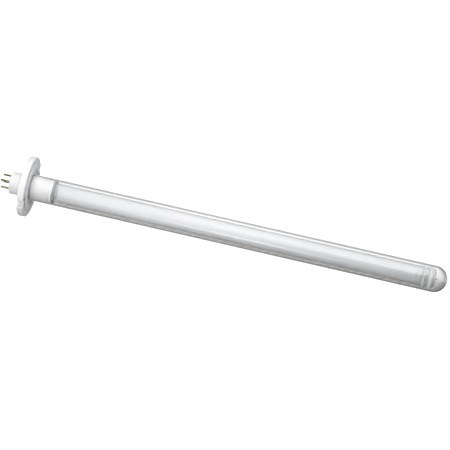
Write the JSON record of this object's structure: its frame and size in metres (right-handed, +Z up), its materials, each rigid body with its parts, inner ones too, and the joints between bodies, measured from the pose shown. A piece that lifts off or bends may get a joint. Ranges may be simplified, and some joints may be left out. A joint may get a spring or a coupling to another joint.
{
  "type": "uv clarifier lamp unit",
  "caption": "Ultraviolet lamp on a round notched flange with contact pins at the back, enclosed in a long clear domed quartz sleeve that draws off forwards.",
  "frame": {"origin": "centre of the flange's front face, the face that seats on the clarifier's housing", "axes": "+X along the sleeve from the flange towards the dome, +Z up, the two rim notches at +Y and -Y"},
  "size_m": [0.392, 0.0526, 0.053],
  "materials": {
    "white_plastic": "smooth moulded white plastic",
    "insulator": "matte off-white",
    "brass": "turned, slightly tarnished",
    "potting": "matte cast compound",
    "grey_silicone": "satin moulded",
    "black_rubber": "satin moulded",
    "lamp_glass": "polished, faintly milky",
    "quartz": "polished clear",
    "clear_silicone": "translucent satin",
    "tungsten": "coated coil",
    "nickel": "drawn wire",
    "glass_braid": "matte woven tube",
    "amalgam": "dull metallic bead"
  },
  "bodies": {
    "base_and_lamp": {"base_flange": "white_plastic", "contact_insert": "insulator", "contact_pin_1": "brass", "contact_pin_2": "brass", "contact_pin_3": "brass", "contact_pin_4": "brass", "base_potting": "potting", "flange_gasket": "grey_silicone", "sleeve_seal": "black_rubber", "lamp_tube": "lamp_glass", "near_stem": "lamp_glass", "far_stem": "lamp_glass", "near_cathode": "tungsten", "far_cathode": "tungsten", "near_lead_1": "nickel", "near_lead_2": "nickel", "far_lead_1": "nickel", "far_lead_2": "nickel", "return_wire_1": "nickel", "return_wire_2": "nickel", "wire_sleeving_1": "glass_braid", "wire_sleeving_2": "glass_braid", "tip_ring_1": "clear_silicone", "tip_ring_2": "clear_silicone", "amalgam_pellet": "amalgam"},
    "sleeve": {"quartz_sleeve": "quartz"}
  },
  "joints": [
    {"name": "sleeve_slide", "type": "slide", "parent": "base_and_lamp", "child": "sleeve", "axis": [1, 0, 0], "range_m": [0, 0.362]}
  ]
}
